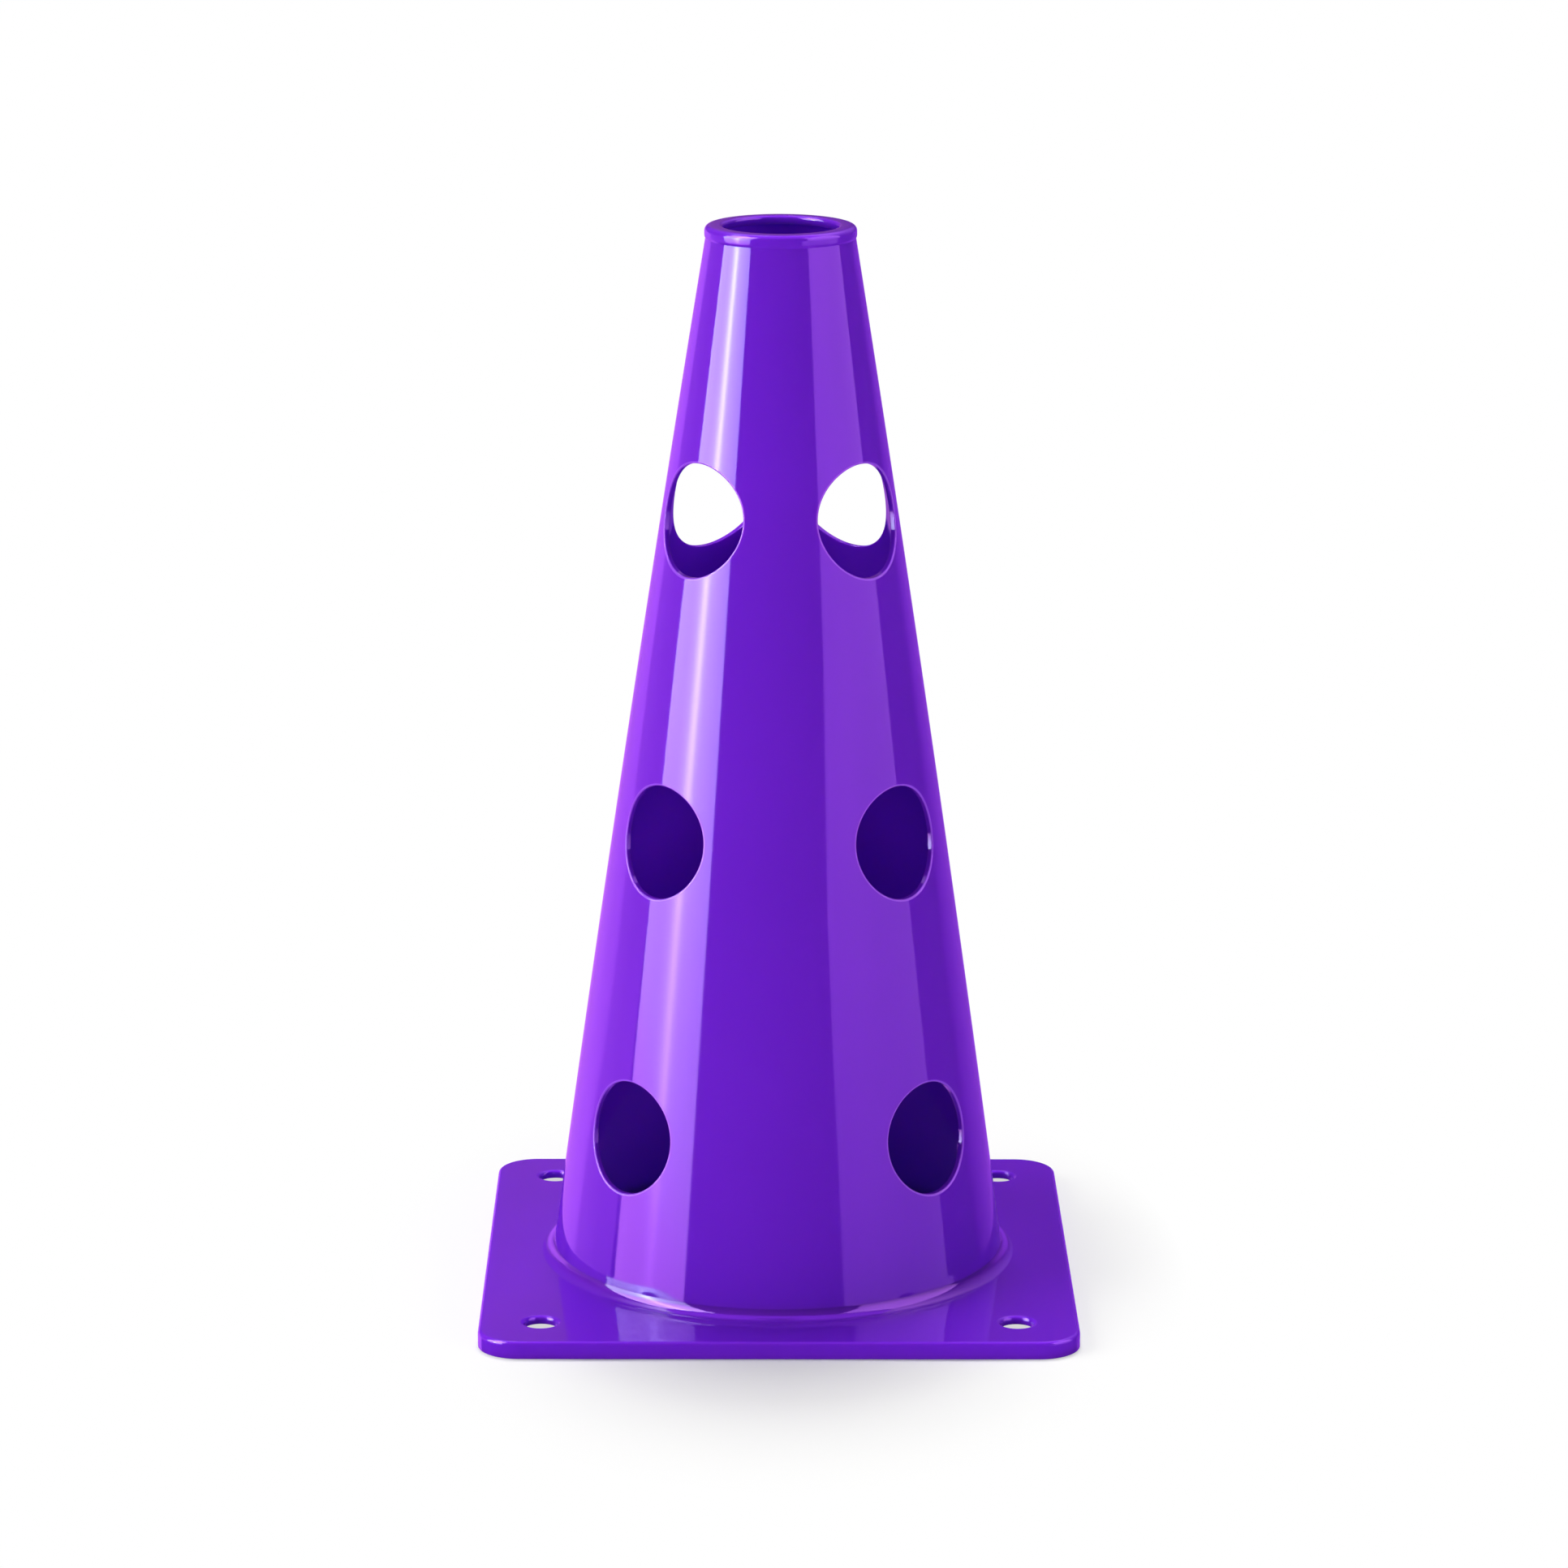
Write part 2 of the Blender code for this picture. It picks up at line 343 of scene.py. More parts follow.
def columns(cone):
    """Angles of the wall's columns from +X, and the first column of each hole's patch. The
    four patches are spread evenly inside, and so are the gaps between them."""
    front, back, half = cone.hole_turn, cone.back_hole_turn, cone.cell_turn
    middles = [-pi / 2 - front, -pi / 2 + front, pi / 2 - back, pi / 2 + back]
    gaps = [FRONT_GAP_COLUMNS, SIDE_GAP_COLUMNS, BACK_GAP_COLUMNS, SIDE_GAP_COLUMNS]
    ends = middles[1:] + [middles[0] + 2 * pi]
    angles, firsts = [], []
    for middle, gap, following in zip(middles, gaps, ends):
        firsts.append(sum(len(part) for part in angles))
        angles.append(np.linspace(middle - half, middle + half, CELL_COLUMNS, endpoint=False))
        angles.append(np.linspace(middle + half, following - half, gap, endpoint=False))
    return np.concatenate(angles), list(zip(middles, firsts))


def heights(cone, low, high):
    """Heights of the wall's rows from low to high, close together across each row of holes,
    and the first row of each of those."""
    rows = [cone.low_row, cone.middle_row, cone.top_row]
    stops = [low] + [row + side * cone.cell_height for row in rows for side in (-1, 1)] + [high]
    steps = [CELL_ROWS] * (2 * len(rows) + 1)
    steps[::2] = BAND_ROWS
    parts = [np.linspace(a, b, n, endpoint=False) for a, b, n in zip(stops, stops[1:], steps)]
    firsts = np.cumsum([0] + steps)[1:-1:2]
    return np.append(np.concatenate(parts), high), dict(zip(rows, firsts))


def lip_profile(cone):
    """The lip, rim and opening as (radius, height) points: up the lip's two arcs, in across
    the flat rim, and over the opening's arc and down its bore."""
    outside = cone.neck_radius + cone.lip_overhang
    middle = outside - cone.lip_round
    tuck = acos((cone.neck_radius - middle) / cone.lip_round)
    crease = cone.height - cone.lip_height
    turn_height = crease + cone.lip_round * sin(tuck)
    under = arc((middle, turn_height), cone.lip_round, -np.degrees(tuck), 0, ROUND_STEPS)
    over = arc((middle, cone.height - cone.lip_round), cone.lip_round, 0, 90, ROUND_STEPS)
    opening = outside - cone.rim_width
    centre = (opening + cone.opening_round, cone.height - cone.opening_round)
    inward = arc(centre, cone.opening_round, 90, 180, ROUND_STEPS)
    bore = [(opening, cone.height - cone.rim_thickness)]
    return np.concatenate([under, over, inward, bore])


def turned(profile, angles):
    """A profile of (radius, height) points carried round Z: x and y are the radius times the
    cosine and sine of each angle, and z is the height."""
    radius, height = profile[:, 0, None], profile[:, 1, None]
    return np.stack([radius * np.cos(angles), radius * np.sin(angles),
                     np.broadcast_to(height, (len(profile), len(angles)))], -1)


def wall_normals(cone, plate, height, angles):
    """Outward normals of the wall: along the radius, tipped up by the wall's lean."""
    tip = -lean(cone, plate, height)[:, None]
    flat = np.ones_like(tip)
    return unit(turned(np.concatenate([flat, tip], -1), angles))


class Hole:
    """One pole hole: a level bore that runs out along its own direction from the axis."""

    def __init__(self, cone, plate, height, radius, turn):
        self.cone, self.plate, self.height, self.radius = cone, plate, height, radius
        self.out = np.array([cos(turn), sin(turn), 0])
        self.across = np.array([-sin(turn), cos(turn), 0])

    def world(self, depth, side, rise):
        """Points from their place along the bore, across it and above its middle."""
        return (depth[..., None] * self.out + side[..., None] * self.across
                + (self.height + rise)[..., None] * UP)

    def flat(self, points):
        """Places across and above the bore of points on the wall."""
        return np.stack([points @ self.across, points[..., 2] - self.height], -1)

    def on_wall(self, places, inset):
        """Points of the wall over places across and above the bore, with their normals. The
        depth is the root of the wall's radius squared less the place across squared, and the
        normal is the level way out from the axis less the wall's lean times the way up."""
        side, rise = places[..., 0], places[..., 1]
        height = self.height + rise
        radius = taper(self.cone, self.plate, height) - inset
        depth = np.sqrt(radius ** 2 - side ** 2)
        level_part = depth[..., None] * self.out + side[..., None] * self.across
        tip = lean(self.cone, self.plate, height)[..., None]
        normal = level_part / radius[..., None] - tip * UP
        return self.world(depth, side, rise), unit(normal) * (-1 if inset else 1)

    def rows(self, outside, inside):
        """The rings of the hole with their normals and marks: from the edge of its patch in
        to the rounded edge, over it, through the bore, over the back edge and out along the
        inside. The marks paint a highlight on the front rim and over the rounded edge. The
        face's last ring lies close to the edge, so that the painted highlight fades there."""
        cone, thick = self.cone, self.cone.thickness
        outer, inner = self.flat(outside), self.flat(inside)
        ways = unit(outer)
        bore_normal = -(ways[..., 0, None] * self.across + ways[..., 1, None] * UP)
        front_rim, front_normal = self.on_wall(ways * (self.radius + cone.hole_edge), 0)
        front_corner, _ = self.on_wall(ways * self.radius, 0)
        back_rim, back_normal = self.on_wall(ways * (self.radius + cone.hole_back_edge), thick)
        back_corner, _ = self.on_wall(ways * self.radius, thick)
        front_bore = front_corner - cone.hole_edge * self.out
        back_bore = back_corner + cone.hole_back_edge * self.out
        rim_places = self.flat(front_rim)
        fade_places = rim_places + ways * cone.hole_edge * MARK_FADE
        face_places = ring_blend(outer, rim_places, WALL_RINGS)[1:-1]
        face, face_normal = self.on_wall(np.concatenate([face_places, fade_places[None]]), 0)
        over = corner_curve(front_rim, front_corner, front_bore, EDGE_STEPS)[1:-1]
        bore = ring_blend(front_bore, back_bore, BORE_STEPS)
        under = corner_curve(back_bore, back_corner, back_rim, EDGE_STEPS)[1:-1]
        back_places = ring_blend(self.flat(back_rim), inner, WALL_RINGS)[1:-1]
        back, back_face_normal = self.on_wall(back_places, thick)
        unset = np.full(over.shape, np.nan)
        parts = [
            (face, face_normal, 0),
            (front_rim[None], front_normal[None], 1),
            (over, unset, 1),
            (bore, np.broadcast_to(bore_normal, bore.shape), 0),
            (under, unset, 0),
            (back_rim[None], back_normal[None], 0),
            (back, back_face_normal, 0),
        ]
        points, normals, marks = zip(*parts)
        marks = [np.full(len(rings), mark) for rings, mark in zip(points, marks)]
        return np.concatenate(points), np.concatenate(normals), np.concatenate(marks)[:, None]


def cone_shell(cone, plate):
    """The whole cone as one closed sheet: a profile carried round Z, up the outside, over
    the lip, down the inside and back under the flange, with a patch for each hole."""
    sheet = Sheet()
    angles, patches = columns(cone)
    flange_top = plate.height - plate.skin - plate.gap
    crease = cone.height - cone.lip_height
    rim_under = cone.height - cone.rim_thickness
    out_heights, out_firsts = heights(cone, flange_top, crease - plate.gap)
    in_heights, in_firsts = heights(cone, 0, rim_under)
    out_profile = np.stack([taper(cone, plate, out_heights), out_heights], -1)
    in_profile = np.stack([taper(cone, plate, in_heights) - cone.thickness, in_heights], -1)
    foot = taper(cone, plate, 0) + cone.flange_width
    flange = np.array([(foot, 0), (foot, flange_top)])
    outside = sheet.add(turned(out_profile, angles), wall_normals(cone, plate, out_heights, angles))
    lip = sheet.add(turned(lip_profile(cone), angles))
    inside = sheet.add(turned(in_profile, angles), -wall_normals(cone, plate, in_heights, angles))
    under = sheet.add(turned(flange, angles))
    index = np.concatenate([outside, lip, inside[::-1], under])
    kept = np.ones(index.shape, bool)
    points = np.concatenate(sheet.points)
    inside_start = len(outside) + len(lip)
    rows = [cone.low_row, cone.middle_row, cone.top_row]
    front = [(row, cone.hole_radius, patch) for row in rows for patch in patches[:2]]
    back = [(cone.top_row, cone.back_hole_radius, patch) for patch in patches[2:]]
    for row, radius, (turn, first) in front + back:
        across = first + np.arange(CELL_COLUMNS + 1)
        up = out_firsts[row] + np.arange(CELL_ROWS + 1)
        back_up = inside_start + len(inside) - 1 - in_firsts[row] - np.arange(CELL_ROWS + 1)
        kept[np.ix_(up[:-1], across[:-1])] = False
        kept[np.ix_(back_up[1:], across[:-1])] = False
        outer, inner = edge_of(index, up, across), edge_of(index, back_up, across)
        hole = Hole(cone, plate, row, radius, turn)
        rings = sheet.add(*hole.rows(points[outer], points[inner]))
        sheet.skin(quads(np.concatenate([outer[None], rings, inner[None]])))
    sheet.skin(quads(index, close_rows=True)[kept])
    return sheet


# Base plate


def square_loop(plate, inset, height):
    """The plate's rounded square, drawn in by the inset: each quarter is a straight side and
    then a quarter circle whose radius is the corner's less the inset."""
    half = plate.side / 2 - inset
    corner = plate.corner_round - inset
    reach = half - corner
    side = np.linspace(-reach, reach, SIDE_COLUMNS, endpoint=False)
    straight = np.stack([np.full_like(side, half), side], -1)
    bend = arc((reach, reach), corner, 0, 90, CORNER_COLUMNS)[:-1]
    quarter = np.concatenate([straight, bend])
    turns = [np.array([[cos(t), sin(t)], [-sin(t), cos(t)]]) for t in np.arange(4) * pi / 2]
    loop = np.concatenate([quarter @ turn for turn in turns])
    return np.column_stack([loop, np.full(len(loop), height)])


def side_normals(plate):
    """Outward normals along the rounded square: straight out from each side, and along the
    radius at each corner."""
    inner, outer = square_loop(plate, plate.edge_round, 0), square_loop(plate, 0, 0)
    return unit(outer - inner)


def round_loop(plate, radius, height):
    """A circle with a point in line with each point of the plate's rounded square."""
    loop = square_loop(plate, 0, 0)[:, :2]
    return np.column_stack([unit(loop) * radius, np.full(len(loop), height)])


def fillet_profile(cone, plate):
    """The fillet's (radius, height) points: a circle that rests on the plate's top and just
    clears the leaning wall, from the top up to where it runs into the wall."""
    height = plate.height + plate.fillet
    tilt = atan(-lean(cone, plate, height))
    middle = taper(cone, plate, height) + (plate.fillet + plate.gap) / cos(tilt)
    start = 180 + np.degrees(tilt + plate.fillet_lip)
    return arc((middle, height), plate.fillet, 270, start, FILLET_STEPS)


def peg_rows(plate, middle, top_edge, under_edge):
    """The rings of a peg hole: in across the top, round its lip, down its bore and out again
    across the underside. Each ring is a circle about the hole's middle, or a blend of one
    with the edge of the patch. A normal on the lip is the way to the hole's middle times the
    cosine of its slope, plus up times the sine."""
    ways = unit((top_edge - middle)[:, :2])
    ways = np.column_stack([ways, np.zeros(len(ways))])
    wide = plate.peg_radius + plate.peg_round
    under = plate.height - plate.skin
    lip = arc((wide, plate.height - plate.peg_round), plate.peg_round, 90, 180, ROUND_STEPS)
    low = arc((plate.peg_radius + plate.edge_break, under + plate.edge_break),
              plate.edge_break, 180, 270, BORE_STEPS)
    profile = np.concatenate([lip, low])
    bore = middle + profile[:, 0, None, None] * ways + profile[:, 1, None, None] * UP
    face = ring_blend(top_edge, bore[0], WALL_RINGS)[1:-1]
    ceiling = ring_blend(bore[-1], under_edge, WALL_RINGS)[1:-1]
    slopes = [np.linspace(90, 0, ROUND_STEPS + 1), np.linspace(0, -90, BORE_STEPS + 1)]
    slopes = np.radians(np.concatenate(slopes))[:, None, None]
    bore_normal = -np.cos(slopes) * ways + np.sin(slopes) * UP
    points = np.concatenate([face, bore, ceiling])
    normals = np.concatenate([np.broadcast_to(UP, face.shape), bore_normal,
                              np.broadcast_to(-UP, ceiling.shape)])
    return points, normals


def edge_rows(plate):
    """The loops from the underside down the skirt's inside, round its foot and up its outside
    to the top, with their normals: the way out of the plate times the cosine of the angle
    that a loop faces, plus up times its sine. The mesh works out those of the first turn."""
    small, wide = plate.edge_break, plate.edge_round
    skirt_turn = arc((-plate.skirt - small, plate.height - plate.skin - small), small, 90, 0,
                     BORE_STEPS)
    inner_foot = arc((-plate.skirt + small, small), small, 180, 270, BORE_STEPS)
    outer_foot = arc((-small, small), small, 270, 360, BORE_STEPS)
    edge = arc((-wide, plate.height - wide), wide, 0, 90, ROUND_STEPS)
    sides = np.concatenate([skirt_turn[1:], inner_foot, outer_foot, edge[:-1]])
    loops = np.stack([square_loop(plate, -distance, height) for distance, height in sides])
    facing = [np.linspace(180, 270, BORE_STEPS + 1), np.linspace(270, 360, BORE_STEPS + 1),
              np.linspace(0, 90, ROUND_STEPS + 1)[:-1]]
    facing = np.radians(np.concatenate(facing))[:, None, None]
    out = side_normals(plate)
    turn_normals = np.full((BORE_STEPS, *out.shape), np.nan)
    return loops, np.concatenate([turn_normals, np.cos(facing) * out + np.sin(facing) * UP])


def fillet_rows(plate, fillet):
    """The fillet's rings above the plate's top, with their normals, which point from each
    ring to the middle of the fillet's circle."""
    rings = np.stack([round_loop(plate, radius, height) for radius, height in fillet[1:]])
    ways = unit(round_loop(plate, 1, 0))
    centre = np.array([fillet[0, 0], plate.height + plate.fillet])
    tips = (centre - fillet[1:]) / plate.fillet
    return rings, tips[:, 0, None, None] * ways + tips[:, 1, None, None] * UP


def base_tray(cone, plate):
    """The whole plate as one closed sheet: loops from the bore out along the underside, down
    the skirt, up the edge, in across the top and up the fillet, with a patch for each peg
    hole."""
    sheet = Sheet()
    under = plate.height - plate.skin
    fillet = fillet_profile(cone, plate)
    low_bore = taper(cone, plate, under) + plate.gap
    top_bore = taper(cone, plate, fillet[-1, 1]) + plate.gap
    ceiling = ring_blend(round_loop(plate, low_bore, under),
                         square_loop(plate, plate.skirt + plate.edge_break, under), FLAT_ROWS)
    top = ring_blend(square_loop(plate, plate.edge_round, plate.height),
                     round_loop(plate, fillet[0, 0], plate.height), FLAT_ROWS)
    under_grid = sheet.add(ceiling, -UP)
    edge_grid = sheet.add(*edge_rows(plate))
    top_grid = sheet.add(top, UP)
    rest_grid = sheet.add(*fillet_rows(plate, fillet))
    bore_grid = sheet.add(round_loop(plate, top_bore, fillet[-1, 1])[None])
    index = np.concatenate([under_grid, edge_grid, top_grid, rest_grid, bore_grid])
    kept = np.ones(index.shape, bool)
    points = np.concatenate(sheet.points)
    reach = plate.side / 2 - plate.peg_inset
    top_first = len(under_grid) + len(edge_grid)
    for corner, (x, y) in enumerate(PLATE_CORNERS):
        start = corner * (SIDE_COLUMNS + CORNER_COLUMNS) + SIDE_COLUMNS - PEG_SIDE_COLUMNS
        across = start + np.arange(CORNER_COLUMNS + 2 * PEG_SIDE_COLUMNS + 1)
        across %= index.shape[1]
        inward = top_first + np.arange(FLAT_ROWS + 1)
        under_rows = np.arange(FLAT_ROWS, -1, -1)
        kept[np.ix_(inward[:-1], across[:-1])] = False
        kept[np.ix_(under_rows[1:], across[:-1])] = False
        above, below = edge_of(index, inward, across), edge_of(index, under_rows, across)
        middle = np.array([x * reach, y * reach, 0])
        rings = sheet.add(*peg_rows(plate, middle, points[above], points[below]))
        sheet.skin(quads(np.concatenate([above[None], rings, below[None]])))
    sheet.skin(quads(index, close_rows=True)[kept])
    return sheet


# Plastic

# Noise of the deeper patches, of the handled patches and of the specks in those: its scale
# and detail, and the levels between which it counts from zero to one
DEEP_PATCHES = (14, 2, 0.35, 0.7)
HANDLED_PATCHES = (38, 4, 0.48, 0.75)
SPECKS = (420, 2, 0.62, 0.72)

# Noise of the ripple and of the grain: its scale and detail
RIPPLES = (34, 1)
GRAINS = (1300, 1)

# Share of the scuffs that shows as specks, the plastic's index of refraction, and how far red,
# green and blue light spread in it as shares of its depth
SPECK_SHARE = 0.4
REFRACTION = 1.5
SPREAD = (1.0, 0.35, 1.0)


class Wire:
    """A shader socket in a sum: each operator adds a Math node and gives its result."""

    def __init__(self, shader, socket):
        self.shader, self.socket = shader, socket

    def math(self, operation, *values):
        """One Math node on up to three values or wires."""
        sockets = dict(enumerate(values))
        return self.shader.wire("ShaderNodeMath", 0, {"operation": operation}, sockets)

    def __add__(self, other):
        return self.math("ADD", self, other)

    def __radd__(self, other):
        return self.math("ADD", other, self)

    def __sub__(self, other):
        return self.math("SUBTRACT", self, other)

    def __rsub__(self, other):
        return self.math("SUBTRACT", other, self)

    def __mul__(self, other):
        return self.math("MULTIPLY", self, other)

    def __rmul__(self, other):
        return self.math("MULTIPLY", other, self)

    def between(self, low, high):
        """Zero below low and one above high, with a straight run between."""
        sockets = {"Value": self, "From Min": low, "From Max": high}
        return self.shader.wire("ShaderNodeMapRange", 0, {"clamp": True}, sockets)


class Shader:
    """The node tree of one material or world."""

    def __init__(self, owner):
        owner.use_nodes = True
        self.tree = owner.node_tree
        self.tree.nodes.clear()

    def node(self, kind, settings, sockets):
        """Add a node, set it up, then fill its sockets with values or wires."""
        made = self.tree.nodes.new(kind)
        for name, value in settings.items():
            if name == "stops":
                self.set_stops(made.color_ramp.elements, value)
            else:
                setattr(made, name, value)
        for name, value in sockets.items():
            if isinstance(value, Wire):
                self.tree.links.new(value.socket, made.inputs[name])
            else:
                made.inputs[name].default_value = value
        return made

    @staticmethod
    def set_stops(elements, stops):
        """Give a ramp its stops, each a place and a grey level."""
        while len(elements) < len(stops):
            elements.new(1)
        for element, (place, value) in zip(elements, stops):
            element.position = place
            element.color = (value, value, value, 1)

    def wire(self, kind, output, settings, sockets):
        """Add a node and give back one of its outputs as a wire."""
        return Wire(self, self.node(kind, settings, sockets).outputs[output])

    def mix(self, share, first, second):
        """A colour between two others, by its share of the second."""
        colours = [value if isinstance(value, Wire) else (*value, 1) for value in (first, second)]
        sockets = {"Factor": share, "A": colours[0], "B": colours[1]}
        return self.wire("ShaderNodeMix", "Result", {"data_type": "RGBA"}, sockets)

    def noise(self, place, scale, detail):
        """Soft noise, mostly between zero and one."""
        sockets = {"Vector": place, "Scale": scale, "Detail": detail}
        return self.wire("ShaderNodeTexNoise", 0, {}, sockets)

    def bump(self, height, distance, **below):
        """A normal tipped by a height over a distance, on top of the normal below it."""
        sockets = {"Strength": 1.0, "Distance": distance, "Height": height, **below}
        return self.wire("ShaderNodeBump", 0, {}, sockets)

    def ramp(self, place, stops):
        """The grey level that a ramp's stops give to a place from zero to one."""
        return self.wire("ShaderNodeValToRGB", 0, {"stops": stops}, {"Fac": place})


def plastic(finish, name):
    """Glossy moulded plastic: slightly deeper patches, a highlight painted in a paler colour on
    the pole holes' edges, a slow ripple and a fine grain in the surface, and patches that
    handling has left less glossy."""
    material = bpy.data.materials.new(name)
    shader = Shader(material)
    place = shader.wire("ShaderNodeTexCoord", "Object", {}, {})

    def patches(scale, detail, low, high):
        """Noise that counts as zero below the low level and as one above the high one."""
        return shader.noise(place, scale, detail).between(low, high)

    # A paler colour on the marked edges of the pole holes paints a highlight there
    edges = shader.wire("ShaderNodeAttribute", "Fac", {"attribute_name": RIM_HIGHLIGHT_MARK}, {})
    body = shader.mix(patches(*DEEP_PATCHES), finish.colour, finish.deep_colour)
    body = shader.mix(edges, body, finish.rim_highlight_colour)
    ripple = shader.bump(shader.noise(place, *RIPPLES), finish.ripple)
    grain = shader.bump(shader.noise(place, *GRAINS), finish.grain, Normal=ripple)
    specks = 1 - SPECK_SHARE + SPECK_SHARE * patches(*SPECKS)
    rough = finish.roughness + finish.scuff * (patches(*HANDLED_PATCHES) * specks)
    surface = shader.wire("ShaderNodeBsdfPrincipled", 0, {}, {
        "Base Color": body, "Roughness": rough, "Normal": grain, "IOR": REFRACTION,
        "Specular Tint": (*finish.sheen_tint, 1), "Subsurface Weight": finish.inner_glow,
        "Subsurface Scale": finish.depth, "Subsurface Radius": SPREAD})
    shader.node("ShaderNodeOutputMaterial", {}, {"Surface": surface})
    return material


# Studio

WHITE = (1, 1, 1)

# A ramp that is the same all along
EVEN = ((0, 1), (1, 1))

# Level that the ramp across a card flattens to
FLAT_LEVEL = 0.52

# Reach of the floor and usual distance of the cards from the axis, in metres
FLOOR_REACH = 12.0
CARD_DISTANCE = 3.0

# Columns of a card's mesh
CARD_COLUMNS = 24

# Distances from the axis at which the floor starts to burn out and is white, and the scale
# of those distances along X, Y and Z
BURN_OUT = (0.125, 0.20)
SHADOW_OVAL = (1.35, 0.85, 1)

# Near and far side of each square of painted light under the plate, from the middle, and its height
PAINTED_LIGHT_UNDER_PLATE = (0.057, 0.101, 0.0001)

# Where each sun stands, as its azimuth from the front, positive to the right, and its
# elevation, and how wide it looks, in degrees
SUNS = {
    "back_light": (180, 69, 26),
    "key_light": (-78, 30, 40),
    "left_light": (-50, 4, 30),
    "right_light": (50, 4, 30),
}

# Place of the camera in metres and its turns in radians, the width of its sensor in
# millimetres, and the distances between which it sees
CAMERA_PLACE = (-0.01243, -2.05443, 0.69445)
CAMERA_PITCH = 0.2457
CAMERA_YAW = 0.0069
CAMERA_ROLL = 0.0031
CAMERA_SENSOR = 36
CAMERA_SIGHT = (0.05, 60)


def paper(name, tint):
    """Pale matt paper that burns out to white in the picture: the camera sees a plain white
    in its place, by a share that grows with the distance from the cone's axis. The distance
    is measured in ovals, for the shadow reaches further to the front than to the sides."""
    material = bpy.data.materials.new(name)
    shader = Shader(material)
    place = shader.wire("ShaderNodeTexCoord", "Object", {}, {})
    oval = shader.wire(
        "ShaderNodeVectorMath", 0, {"operation": "MULTIPLY"}, {0: place, 1: SHADOW_OVAL})
    away = shader.wire("ShaderNodeVectorMath", "Value", {"operation": "LENGTH"}, {0: oval})
    seen = shader.wire("ShaderNodeLightPath", "Is Camera Ray", {}, {})
    matt = shader.wire("ShaderNodeBsdfDiffuse", 0, {}, {"Color": (*tint, 1)})
    white = shader.wire("ShaderNodeEmission", 0, {}, {"Color": (*WHITE, 1)})
    share = seen * away.between(*BURN_OUT)
    surface = shader.wire("ShaderNodeMixShader", 0, {}, {0: share, 1: matt, 2: white})
    shader.node("ShaderNodeOutputMaterial", {}, {"Surface": surface})
    return material


def glowing(name, strength, tints=(WHITE,), across=EVEN, upward=EVEN, contrast=EVEN):
    """A lit card: its brightness is the strength times a ramp across it and one up it. Its
    colour goes from the first of three tints to the second as the ramp across it rises.
    Where a third ramp, up the card, falls from one to zero, the ramp across it flattens to
    FLAT_LEVEL and the colour goes to the last tint. A card may have one tint alone. Light
    that a matt surface has scattered doesn't see it."""
    material = bpy.data.materials.new(name)
    shader = Shader(material)
    uv = shader.wire("ShaderNodeUVMap", 0, {}, {})
    place = shader.node("ShaderNodeSeparateXYZ", {}, {"Vector": uv})
    sideways, rising = Wire(shader, place.outputs["X"]), Wire(shader, place.outputs["Y"])
    first, second = shader.ramp(sideways, across), shader.ramp(rising, upward)
    kept = shader.ramp(rising, contrast)
    tint = shader.mix(kept, tints[-1], shader.mix(first, tints[0], tints[len(tints) // 2]))
    seen = 1 - shader.wire("ShaderNodeLightPath", "Diffuse Depth", {}, {}).between(0, 1)
    glow = (FLAT_LEVEL + (first - FLAT_LEVEL) * kept) * second * strength * seen
    lit = shader.wire(
        "ShaderNodeVectorMath", 0, {"operation": "SCALE"}, {0: tint, "Scale": glow})
    surface = shader.wire("ShaderNodeEmission", 0, {}, {"Color": lit})
    shader.node("ShaderNodeOutputMaterial", {}, {"Surface": surface})
    return material


def stage_mesh(name, points, faces, material, unseen):
    """Add a mesh that isn't part of the object, hide it from some kinds of ray, and give it
    back."""
    mesh = bpy.data.meshes.new(name)
    mesh.from_pydata(points, [], faces)
    mesh.materials.append(material)
    thing = placed(name, mesh)
    for ray in unseen:
        setattr(thing, "visible_" + ray, False)
    return mesh


def card(name, outline, strength, distance=CARD_DISTANCE, **look):
    """A bright card that only reflections see. Its outline gives, at each elevation, the two
    azimuths that it reaches, in degrees from the front and positive to the right; the card
    lies on an upright cylinder about the cone, at the distance given. The look holds the
    tints and ramps that glowing takes."""
    outline = np.array(outline, float)
    share = np.linspace(0, 1, CARD_COLUMNS + 1)
    turn = np.radians(outline[:, 1, None] * (1 - share) + outline[:, 2, None] * share)
    height = np.tan(np.radians(outline[:, 0]))[:, None] * np.ones_like(share)
    points = distance * np.stack([np.sin(turn), -np.cos(turn), height], -1)
    index = np.arange(turn.size).reshape(turn.shape)
    faces = np.stack([index[:-1, :-1], index[1:, :-1], index[1:, 1:], index[:-1, 1:]], -1)
    faces = faces.reshape(-1, 4)
    mesh = stage_mesh(name, points.reshape(-1, 3), faces, glowing(name, strength, **look),
                      ("camera", "diffuse", "transmission", "shadow"))
    rise = (outline[:, 0] - outline[0, 0]) / (outline[-1, 0] - outline[0, 0])
    places = np.stack(np.broadcast_arrays(share[None], rise[:, None]), -1).reshape(-1, 2)
    layer = mesh.uv_layers.new(name="UVMap")
    layer.data.foreach_set("uv", places[faces.ravel()].ravel())


